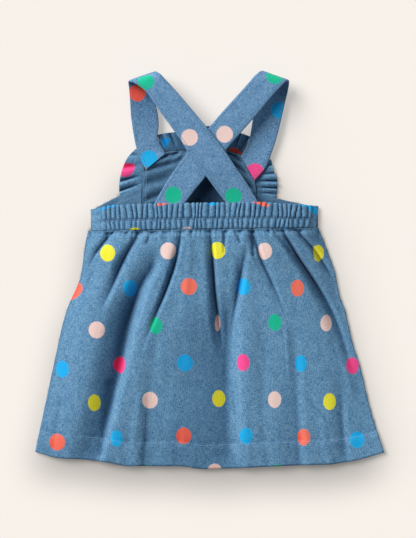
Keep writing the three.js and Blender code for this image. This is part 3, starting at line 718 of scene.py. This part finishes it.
def chambray(name, dark, light, dotted):
    """Blue warp over white weft, with slubs along both, and the printed dots where there are any.

    The grain's numbers are threads or slubs in a metre of cloth.
    """
    s = Shader(name)
    uv = s.node("ShaderNodeUVMap", uv_map="Cloth").outputs[0]
    fine = s.grain(uv, 1150, 1150, 0.0)
    warp = s.grain(uv, 1100, 240, 0.0)
    weft = s.grain(uv, 240, 1100, 0.0)
    patches = s.grain(uv, 120, 90, 2.0)
    total = fine
    for part, weight in ((warp, 0.6), (weft, 0.6), (patches, 0.4)):
        total = s.math("ADD", total, s.math("MULTIPLY", part, weight))
    colour = s.blend(s.spread(total, 0.92, 1.67), opaque(dark), opaque(light))
    fleck = s.spread(s.grain(uv, 420, 170, 1.0), 0.66, 0.8, 0.0, 0.2)
    colour = s.blend(fleck, colour, opaque(FLECK_RGB))
    # Painted shade: the mesh's light attribute darkens the cloth, bluer where deeper, and darkens
    # the dots' ink
    lit = s.of_mesh("light")
    channels = {k: s.math("POWER", lit, power) for k, power in enumerate(SHADE_POWERS)}
    reach = s.node("ShaderNodeCombineColor", channels)
    colour = s.blend(1.0, colour, reach.outputs[0], "MULTIPLY")
    if dotted:
        deeper = s.math("SUBTRACT", 1.9, s.math("MULTIPLY", lit, 0.9))
        ink = {"Color": s.of_mesh("dot_rgb", "Color"), "Gamma": deeper}
        ink = s.node("ShaderNodeGamma", ink).outputs[0]
        ink = s.blend(s.math("POWER", lit, 0.5), BLACK, ink)
        edge = s.math("ADD", s.of_mesh("dot"), s.spread(fine, 0.3, 0.7, -0.3, 0.3))
        within = s.spread(edge, DOT_RADIUS - DOT_EDGE, DOT_RADIUS + DOT_EDGE, 1.0, 0.0)
        cover = s.math("MULTIPLY", within, s.spread(total, 0.95, 1.5, 1.0, 0.9))
        colour = s.blend(cover, colour, ink)
    s.put(s.surface.inputs["Sheen Weight"], 0.08)
    s.put(s.surface.inputs["Sheen Roughness"], 0.5)
    height = s.math("ADD", fine, s.math("ADD", warp, weft))
    bumped = s.node("ShaderNodeBump", {"Strength": 0.5, "Distance": 0.0003, "Height": height})
    s.put(s.surface.inputs["Normal"], bumped.outputs[0])
    return s.finish(0.86, colour)


outside = chambray("chambray_outside", (0.235, 0.435, 0.60), (0.48, 0.65, 0.775), True)
# The straps' chambray: the same cloth, painted lighter for the light that falls on them
painted_lighter = chambray("chambray_pressed", (0.27, 0.455, 0.625), (0.50, 0.66, 0.80), True)
inside = chambray("chambray_inside", (0.29, 0.465, 0.60), (0.44, 0.60, 0.73), False)
thread = Shader("thread").finish(0.8, opaque(THREAD_RGB))


# Skirt
def waist_y(x):
    return WAIST_Y + WAIST_TILT * x


def waist_z(x):
    t = np.minimum(np.abs(x - WAIST_CENTRE) / WAIST_HALF, 1)
    return WAIST_SIDE_Z + WAIST_CROWN_Z * (1 - t**3.2) ** 0.8


def swell(down, starts, peak, ends):
    """From nothing where a fold starts to whole at its peak, and to nothing where it ends."""
    return np.minimum(smooth(down, starts, peak), 1 - smooth(down, peak, ends))


def fold_cut(fold, x, down):
    """A valley with a long rounded left wall and a short right one."""
    at, starts, peak, ends, depth, left, right = fold
    offset = x - curve(FOLD_LEVELS, at, down)
    low = smooth(down, 0, WIDENED)
    sinking = np.clip(1 + offset / mix(*left, low), 0, 1) ** 1.6
    profile = np.where(offset < 0, sinking, bump(offset, mix(*right, low)))
    return depth * swell(down, starts, peak, ends) * profile


def rib(fold, x, down):
    """A soft ridge, which rises as much on both sides."""
    at, starts, peak, ends, height, narrow, wide = fold
    half = mix(narrow, wide, smooth(down, 0, WIDENED))
    offset = x - curve(FOLD_LEVELS, at, down)
    return height * swell(down, starts, peak, ends) * bump(offset, half)


def hem_share(down):
    turn = 1 - HEM_DEPTH / SKIRT_LENGTH
    return smooth(down, turn - 0.01, turn)


def skirt_plan(u, down):
    """Where the skirt's points lie in plan, and their place from -1 at its left side to 1."""
    left, right = read(SKIRT_SIDES, 1, down), read(SKIRT_SIDES, 2, down)
    x = mix(left, right, u)
    y = mix(waist_y(x), curve(*zip(*HEM_LINE), x), down)
    return x, y, np.clip(2 * u - 1, -1, 1)


def frame_xy(px, py):
    return (px - ZERO_PX) * PIXEL, (ZERO_PY - py) * PIXEL


def charted(marks, *part):
    """Dots charted on the photograph, as marks in the frame, on a part of the cloth's length."""
    return [(*frame_xy(px, py), name, *part) for px, py, name in marks]


def from_line(x, y, start, end):
    """Distance in plan from the line between two points."""
    (x0, y0), (x1, y1) = start, end
    dx, dy = x1 - x0, y1 - y0
    t = np.clip(((x - x0) * dx + (y - y0) * dy) / (dx * dx + dy * dy), 0, 1)
    return np.hypot(x - x0 - t * dx, y - y0 - t * dy)


def back_height(u, down, x, y, t):
    """The puffed dome, less its folds and gathers, with pleats, soft waves and small creases."""
    seam = CLOTH * (1.5 + hem_share(down)) + SEAM - 2 * math.exp(-1)
    round_left, flat_right = (1 - t**4) ** 0.8, (1 - t**4) ** 1.1
    dome = seam + curve(*zip(*BACK_CROWN), down) * np.where(t < 0, round_left, flat_right)
    away = smooth(down, 0.008, 0.08)
    puff = WAIST_PUFF * smooth(down, 0.008, 0.03) * (1 - smooth(down, 0.05, 0.2))
    puff = puff * (1 - np.abs(t) ** 8)
    short = sum(
        depth * bump(x - at, SHORT_GATHER_HALF) * (1 - smooth(down, 0, reach))
        for at, depth, reach in SHORT_GATHERS
    )
    cut = sum(fold_cut(fold, x, down) for fold in BACK_FOLDS)
    cut = cut - (1 - t**8) * sum(rib((*row, row[-1]), x, down) for row in BACK_RIDGES)
    z = mix(waist_z(x), dome, away) + puff - (cut + short) * smooth(down, 0.002, 0.014)
    calm = 1 - np.abs(t) ** 6
    pleats = np.abs(np.sin(np.pi * (GATHERS * u + 0.9 * noise(3, u * 22, down * 5))))
    at_waist = (1 - smooth(down, 0.0, 0.055)) * smooth(down, 0.0, 0.006)
    z = z - PLEAT_DEPTH * (1 - pleats) * at_waist * calm
    z = z + calm * (0.7 * noise(4, u * 17, down * 2.5) + 0.3 * noise(5, u * 43, down * 6))
    up = (1 - down) * SKIRT_LENGTH
    z = z - HEM_DIP * bump(up - HEM_DEPTH, 1.8)
    z = z + 0.5 * noise(6, x / 5, up / 30) * bump(up - HEM_DEPTH, 9)
    lowest = seam + LEAST_SPACE * (1 - np.abs(t) ** 12)
    z = np.where(z > lowest + 2, z, lowest + 2 * np.exp(np.minimum(z - lowest - 2, 0) / 2))
    for x0, y0, x1, y1, height, half in SMALL_CREASES:
        z = z + height * bump(from_line(x, y, frame_xy(x0, y0), frame_xy(x1, y1)), half)
    return z


# Painted shade on the skirt's back, darkening its colour
# How much light the skirt's back loses in hollows, behind higher cloth, on a fold's steep wall,
# along the bottom of a short fold, low down in its middle and at the far left
BACK_HOLLOWS = [(8, 8, 0.08), (3, 3, 0.7)]
IN_LEE, ON_STEEP, ON_LINE, LOW_DOWN, FAR_LEFT = 0.3, 0.048, 0.13, 0.1, 0.1
STEEP_SHARE = 0.4  # of a fold's right wall
LINE_WIDTHS = ((2.6, 2.6), (2.0, 2.0))
SHORT_FOLD = 0.7  # share of the way down by which a short fold has ended


def back_light(points, x, down):
    light = hollows(points[..., 2], BACK_HOLLOWS)
    light = light * (1 - IN_LEE * blurred(lee(points, 18, 0.2, 0.85), 1, 1))
    # Painted shade: a patch low down in the middle in the fold's shadow, the far left, folds'
    # steep walls and a dark line along short folds
    turned = smooth(x, -82, -68) * (1 - smooth(x, 12, 28)) * smooth(down, 0.68, 0.84)
    outer = 1 - smooth(x, -140, -95)
    steep, line = 0, 0
    for fold in BACK_FOLDS:
        *head, ends, depth, left, right = fold
        narrow = tuple(STEEP_SHARE * half for half in right)
        steep = steep + fold_cut((*head, ends, depth, left, narrow), x, down)
        if ends < SHORT_FOLD:
            line = line + fold_cut((*head, ends, depth, *LINE_WIDTHS), x, down)
    light = light * (1 - LOW_DOWN * turned) * (1 - FAR_LEFT * outer)
    return light * np.exp(-ON_STEEP * steep - ON_LINE * line)


def skirt_back():
    u, v = grid(260, 170)
    down = v * (0.5 + 0.5 * v)
    x, y, t = skirt_plan(u, down)
    points = stack(x, y, back_height(u, down, x, y, t))
    faces, half = [outside, inside], CLOTH / 2
    light = back_light(points, x, down)
    return wall("skirt_back_cloth", points, half, half, faces, skirt_dots(points), shade=light)


def skirt_dots(points):
    """Dots where the photograph has them, each measured along the cloth from its own centre."""
    u, _ = lengths(points)
    far, colour = plain(u.shape)
    for (high, tilt, colours), centres in SKIRT_DOTS:
        for number, (x, squeeze) in enumerate(centres):
            y = high + tilt * x - ROW_SAG * x * x
            at = np.array([np.interp(x, points[:, j, 0], u[:, j]) for j in range(u.shape[1])])
            d = np.hypot((u - at) / squeeze, points[..., 1] - y)
            nearer = d < far
            far = np.where(nearer, d, far)
            colour[nearer] = linear(PRINT[colours[number % 2]])
    return far, colour


def skirt_front():
    u, v = grid(150, 110)
    x, y, _ = skirt_plan(u, v)
    raised = sum(rib(fold, x, v) for fold in FRONT_FOLDS)
    z = CLOTH / 2 + raised * smooth(v, 0.008, 0.04)
    points = stack(x, y, z)
    top = CLOTH / 2 + (CLOTH / 2) * hem_share(v)
    lying = dots_everywhere(points, 12, 20)
    return wall("skirt_front_cloth", points, top, CLOTH / 2, [inside, outside], None, lying)


# Waistband
def waistband():
    u, v = grid(8 * GATHERS, 26)
    shift = sum(far * np.sin(often * u + start) for far, often, start in BAND_SHIFTS)
    ends = smooth(u, 0.03, 0.06) * (1 - smooth(u, 0.955, 0.98))
    share = u + shift * ends + 0.004 * np.sin(47 * u) * np.sin(3 * v) * ends
    share = share + 0.0035 * noise(8, u * 30, v * 2.2) * ends
    x = mix(mix(*BAND_LEFT, v), mix(*BAND_RIGHT, v), share)
    y = mix(curve(*zip(*BAND_TOP), x), waist_y(x) + SEAM, v)
    number = GATHERS * u + 0.35 * smooth(v, 0.55, 0.65)
    gather = np.abs(np.sin(np.pi * number)) ** 0.7
    half_of_band = np.where(v < CASING_STITCH, 0.5, 7.5)
    strength = 0.7 + 0.3 * noise(9, np.floor(number) + 0.5, half_of_band)
    y = y + 1.3 * (gather - 0.5) * ends * (1 - smooth(v, 0.0, 0.14))
    z = waist_z(x) - 0.8 * (1 - v) ** 2
    channel = 1 - 0.75 * bump(v - CASING_STITCH, 0.08)
    edge = mix(0.5, 1, smooth(np.minimum(v, 1 - v), 0, 0.1))
    out = CLOTH / 2 + GATHER_HEIGHT * gather * strength * ends * channel * edge
    out = out + 0.15 * noise(10, u * 90, v * 9) * ends
    points = stack(x, y, z)
    # Painted shade: in the gathers' hollows, along the channel's stitching, and a little over the
    # whole band
    light = 0.95 * hollows(out, [(4, 1, 0.95), (2, 1, 0.4)])
    light = light * (1 - 0.3 * bump(v - CASING_STITCH, 0.1))
    marked = dots_at(points, charted(BAND_DOTS))
    return wall("waistband_cloth", points, out, 1.0, [outside, inside], marked, shade=light)


# Front: bib and side pieces, seen from inside
def rise(y):
    return smooth(y, WAIST_Y + 2, WAIST_Y + 34)


def bib_seam_z(y):
    return CLOTH / 2 + (mix(*BIB_SEAM_Z, smooth(y, 108, 130)) - CLOTH / 2) * rise(y)


def bib():
    u, v = grid(120, 84)
    x = mix(read(BIB_SIDES, 1, v), read(BIB_SIDES, 2, v), u)
    top = mix(BIB_TOP[0][0], BIB_TOP[-1][0], u)
    y = mix(curve(*zip(*BIB_TOP), top), waist_y(x) + SEAM, v)
    away = np.abs(2 * u - 1)
    side = away**2.4
    middle = CLOTH / 2 + BIB_PUFF * rise(y)
    near = smooth(away, 0.3, 0.8) * (1 - smooth(away, 0.9, 1))
    z = mix(middle, bib_seam_z(y), side)
    slant = v * BIB_FOLDS + 2.6 * np.minimum(u, 1 - u) + 0.15 * np.sin(9 * v)
    slant = slant + 0.35 * noise(13, u * 5, v * 5)
    z = z + BIB_FOLD * np.sin(2 * np.pi * slant) * near * rise(y)
    gathers = NECK_GATHER * np.cos(2 * np.pi * NECK_GATHERS * u)
    z = z + gathers * (1 - smooth(v, 0.02, 0.24)) * (1 - side)
    z = z + 0.35 * noise(12, u * 12, v * 12) * rise(y) * (1 - side)
    points = stack(x, y, z)
    # Painted shade: deep under the straps' crossing, below the waistband's edge, on the left and
    # in the hollows
    crossing = bump(x + 3, 46) * (1 - smooth(y, 96, 128))
    band = 0.5 * (1 - smooth(y, 62, 84))
    left = 1 - smooth(x, -56, -14)
    light = 0.86 * hollows(z, [(7, 6, 0.8)]) * (1 - 0.82 * crossing)
    light = light * (1 - band) * (1 - 0.16 * left)
    faces, half = [inside, outside], CLOTH / 2
    lying = dots_everywhere(points, 30, 4)
    return wall("bib_cloth", points, half, half, faces, None, lying, shade=light)


def bib_edge(column, y):
    """The bib's left edge, in column 1, or its right one, in column 2, at a height in plan."""
    top = BIB_TOP[0 if column == 1 else -1][1]
    low = waist_y(BIB_SIDES[-1][column])
    return read(BIB_SIDES, column, (top - y) / (top - low - SEAM))


def side_piece(name, upper, seam_right):
    u, v = grid(64, 40)
    start, end = upper[0][0], upper[-1][0]
    flat = mix(start, end, u)
    y = mix(curve(*zip(*upper), flat), waist_y(flat) + SEAM, v)
    seam_side = u if seam_right else 1 - u
    seam_x = bib_edge(1 if seam_right else 2, y) + (-2 if seam_right else 2) * SEAM
    x = flat + (seam_x - (end if seam_right else start)) * seam_side
    outer = CLOTH / 2 + 0.4 * rise(y + 10)
    wrinkle = 0.7 * np.sin(9 * u + 5 * v) * (1 - np.abs(2 * u - 1)) * rise(y)
    z = mix(outer, bib_seam_z(y), seam_side**1.4) + wrinkle
    drop = curve(*zip(*upper), flat) - y
    turned = 0.35 * (1 - smooth(drop, 5.2, 6.0)) - 0.35 * bump(drop - SIDE_HEM, 1.2)
    points = stack(x, y, z)
    faces, half = [inside, outside], CLOTH / 2
    lying = dots_everywhere(points, 20, 9)
    # Painted shade: darker all over and in the hollows
    light = 0.78 * hollows(z, [(5, 5, 0.9)])
    return wall(name, points, half + turned, half, faces, None, lying, shade=light)


def frill(name, rows, waves, swing, calm, foot, lift, marks=(), lit=1):
    """A doubled strip in waves, from its foot in a seam to its free folded edge."""
    u, v = grid(waves * 18, 24)
    x = mix(through(rows, 0, u), through(rows, 2, u), v)
    y = mix(through(rows, 1, u), through(rows, 3, u), v)
    phase = 2 * np.pi * (waves * u + 0.18 * np.sin(7 * u + 1))
    height = swing * calm(u) * smooth(v, 0, 0.75)
    wave = height * (np.sin(phase) + 0.25 * np.sin(2 * phase + 1))
    z = foot + lift(u) * v + wave + 0.2 * noise(14, u * waves * 3, v * 4) * v
    z = np.maximum(z, DOUBLED / 2 + 0.1)
    points = stack(x, y, z)
    out = DOUBLED / 2 - 0.35 * smooth(v, 0.94, 1.0) - 0.25 * bump(v - FRILL_STITCH, 0.03)
    # Painted shade: in the waves' hollows, darker towards the foot, and all over by lit
    light = hollows(wave, [(14, 2, 0.75)]) * mix(0.66, 1, smooth(v, 0, 0.5)) * lit
    marked = dots_at(points, charted(marks))
    faces, inward = [outside, outside], DOUBLED / 2 - 0.2
    return wall(name, points, out, inward, faces, marked, marked, shade=light)


# The parts of a strap's length that lie under its fold and over it
UNDER, OVER = (0.0, 0.38), (0.46, 1.0)


def strap(name, rows, marks_out, marks_in, shoulder, shaded):
    """A flat tube that turns over at the shoulder, a share of the way, and is in shade below."""
    u, v = grid(22, 230)
    ends = [stack(*(through(rows, 3 * e + k, v) for k in range(3))) for e in (0, 1)]
    points = mix(ends[0], ends[1], u[..., None])
    n = normals(points)
    edge = np.minimum(u, 1 - u) * STRAP_WIDTH
    soft = 0.35 * noise(16, v * 26, u * 2) * smooth(edge, 0, 6)
    points = points + n * soft[..., None]
    half = STRAP / 2 - 0.6 * (1 - smooth(edge, 0, 1.6)) - 0.3 * bump(edge - STRAP_STITCH, 1.2)
    # Painted shade: before the shoulder fold, along the stitching and at the edges
    before = smooth(v, shoulder - 0.26, shoulder - 0.06)
    light = 1 - shaded * before * (1 - smooth(v, shoulder, shoulder + 0.02))
    light = light * (1 - 0.25 * bump(edge - STRAP_STITCH, 1.4))
    light = light * (1 - 0.15 * (1 - smooth(edge, 0, 1.2)))
    out = dots_at(points, charted(marks_out, OVER), measure=ribbon)
    inn = dots_at(points, charted(marks_in, UNDER), measure=ribbon)
    return wall(name, points, half, half, [painted_lighter, painted_lighter], out, inn, ribbon, light)


back = skirt_back()
front = skirt_front()
band = waistband()
bib_piece = bib()
side_left = side_piece("front_side_left_cloth", LEFT_SIDE_TOP, True)
side_right = side_piece("front_side_right_cloth", RIGHT_SIDE_TOP, False)


def calm_side(u):
    return (0.45 + 0.75 * smooth(u, 0.15, 0.55)) * (1 - 0.85 * smooth(u, 0.68, 0.86))


def calm_neck(u):
    return 0.35 + 0.65 * smooth(np.minimum(u, 1 - u), 0.02, 0.2)


def lift_side(u):
    return mix(-1.2, -3.6, smooth(u, 0.5, 0.7))


def lift_neck(u):
    return 2.4 * np.sin(np.pi * u)


side_frill = dict(waves=6, swing=2.4, calm=calm_side, foot=FRILL_FOOT_Z, lift=lift_side)
left_marks = [(127, 169, "magenta")]
frill_left = frill("frill_left_cloth", LEFT_FRILL, marks=left_marks, **side_frill)
frill_right = frill("frill_right_cloth", RIGHT_FRILL, **side_frill)
neck_frill = dict(waves=11, swing=1.6, calm=calm_neck, foot=NECK_FOOT_Z, lift=lift_neck, lit=0.62)
neck_marks = [(159, 145, "blue"), (234, 156, "coral")]
frill_neck = frill("frill_neck_cloth", NECK_FRILL, marks=neck_marks, **neck_frill)
strap_left = strap(
    "strap_left_cloth",
    LEFT_STRAP,
    marks_out=[(146, 83, "green"), (190, 138, "pink"), (233, 196, "green")],
    marks_in=[(137, 93.2, "coral"), (149, 159, "blue")],
    shoulder=0.36,
    shaded=0.45,
)
strap_right = strap(
    "strap_right_cloth",
    RIGHT_STRAP,
    marks_out=[(273, 76, "green"), (224, 135, "pink"), (174, 195, "green")],
    marks_in=[(279, 110, "blue"), (254, 172, "magenta")],
    shoulder=0.4,
    shaded=0.3,
)

# Stitching, at shares of the way across or down each piece
STRAP_EDGES = (0.087, 0.913)
bib_runs = [face_column("bib_cloth", at) for at in (0.03, 0.97)] + [face_row("bib_cloth", 0.055)]
side_runs = [face_row(f"front_side_{side}_cloth", 0.2) for side in ("left", "right")]
stitches("hem_stitches", [face_row("skirt_back_cloth", 0.9325)])
stitches("band_stitches", [face_row("waistband_cloth", CASING_STITCH)], 1.9, 0.7)
stitches("bib_stitches", bib_runs)
for name in ("strap_left", "strap_right"):
    runs = [face_column(f"{name}_cloth", at, face) for at in STRAP_EDGES for face in (0, 1)]
    stitches(f"{name}_stitches", runs)
stitches("side_stitches", side_runs)

made = {
    "skirt_back": back,
    "skirt_front": front,
    "waistband_back": band,
    "bib": bib_piece,
    "front_side_left": side_left,
    "front_side_right": side_right,
    "frill_left": frill_left,
    "frill_right": frill_right,
    "frill_neck": frill_neck,
    "strap_left": strap_left,
    "strap_right": strap_right,
}
for node, piece in made.items():
    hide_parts(node)

# The pale surface: a fine grid about the dress, and four wide quads out to its far corners
CELL = 4.0
CELLS = 90  # from the middle to each side of the fine grid
SURFACE_Z = -0.3
SURFACE_REACH = 4000
TABLE_GLOW = 0.4  # share of its light that it gives off itself, so that shadows on it stay pale
PAPER_RGB = (0.983, 0.960, 0.936)
GLOW_RGB = (0.970, 0.945, 0.916)
# How far up in plan the cloth shades the table, and how far up it and the straps darken it
SHADES_TO, DARK_TO, STRAPS_DARK_TO = 125, 220, 140


def table_light():
    """Soft shade below the dress and to its right, and dark under the cloth, at each cell."""
    covered = np.zeros((2 * CELLS + 1, 2 * CELLS + 1))
    hidden = np.zeros_like(covered)
    for name, (face, _, _) in FACES.items():
        dark_to = STRAPS_DARK_TO if name.startswith("strap") else DARK_TO
        for layer, top in ((covered, SHADES_TO), (hidden, dark_to)):
            cells = np.round(face[face[..., 1] < top][:, :2] / CELL).astype(int) + CELLS
            layer[cells[:, 0], cells[:, 1]] = 1
    below = blurred(np.roll(covered, (-1, -6), axis=(0, 1)), 9, 9)
    right = blurred(np.roll(covered, (7, -3), axis=(0, 1)), 12, 12)
    seen = 1 - 0.85 * smooth(blurred(hidden, 2, 2), 0.72, 0.9)
    return (1 - 0.4 * below - 0.12 * right) * seen


places = np.arange(-CELLS, CELLS + 1) * CELL
fx, fy = np.meshgrid(places, places, indexing="ij")
number = np.arange(fx.size).reshape(fx.shape)
cells = faces_of(number[:-1, :-1], number[1:, :-1], number[1:, 1:], number[:-1, 1:])
edges = number[[0, -1, -1, 0], [0, 0, -1, -1]].tolist()
turns = ((0, 1), (1, 2), (2, 3), (3, 0))
wide_quads = [(fx.size + a, fx.size + b, edges[b], edges[a]) for a, b in turns]
square = SURFACE_REACH * np.array([(-1, -1), (1, -1), (1, 1), (-1, 1)])
parts = [stack(fx, fy, SURFACE_Z).reshape(-1, 3), stack(*square.T, SURFACE_Z)]
floor_points = np.concatenate(parts) * MM
ground = bpy.data.meshes.new("surface")
ground.from_pydata(floor_points.tolist(), [], cells.tolist() + wide_quads)
# Painted shadow on the table: its light attribute darkens the paper's colour and its glow
attribute(ground, "light", np.append(table_light().ravel(), np.ones(4)))
surface = bpy.data.objects.new("surface", ground)
bpy.context.scene.collection.objects.link(surface)
paper = Shader("paper")
fallen = paper.of_mesh("light")
base = (*((1 - TABLE_GLOW) * linear(PAPER_RGB)), 1)
glow = paper.blend(fallen, BLACK, opaque(GLOW_RGB))
paper.put(paper.surface.inputs["Emission Color"], glow)
paper.put(paper.surface.inputs["Emission Strength"], TABLE_GLOW)
ground.materials.append(paper.finish(0.9, paper.blend(fallen, BLACK, base)))

# Light: two broad soft sources above and to the left, and a pale room
def sunlight(name, energy, width, tilt_x, tilt_y):
    light = bpy.data.lights.new(name, "SUN")
    light.energy = energy
    light.angle = math.radians(width)
    light.color = (1.0, 0.975, 0.945)
    lamp = bpy.data.objects.new(name, light)
    lamp.rotation_euler = (math.radians(tilt_x), math.radians(tilt_y), 0)
    bpy.context.scene.collection.objects.link(lamp)


sunlight("window", 3.08, 36, -26, -41)
sunlight("second_window", 1.0, 40, -44, -60)
world = bpy.data.worlds.new("room")
world.use_nodes = True
sky = world.node_tree.nodes["Background"]
sky.inputs[0].default_value = (0.86, 0.94, 1.0, 1)
sky.inputs[1].default_value = 0.22
bpy.context.scene.world = world

# Camera straight above, far enough for the long lens that such pictures are taken with
MIDDLE_HEIGHT = 0.012  # about half the height of the laid dress, in metres
view = bpy.data.cameras.new("camera")
view.lens = 200
view.sensor_width = 36
camera = bpy.data.objects.new("camera", view)
distance = PHOTO_HEIGHT * PIXEL * MM / view.sensor_width * view.lens
middle = frame_xy(PHOTO_WIDTH / 2, PHOTO_HEIGHT / 2)
camera.location = (middle[0] * MM, middle[1] * MM, MIDDLE_HEIGHT + distance)
camera.rotation_euler = (0, 0, 0)
view.clip_end = 50
bpy.context.scene.collection.objects.link(camera)
bpy.context.scene.camera = camera
bpy.context.scene.view_settings.view_transform = "Standard"
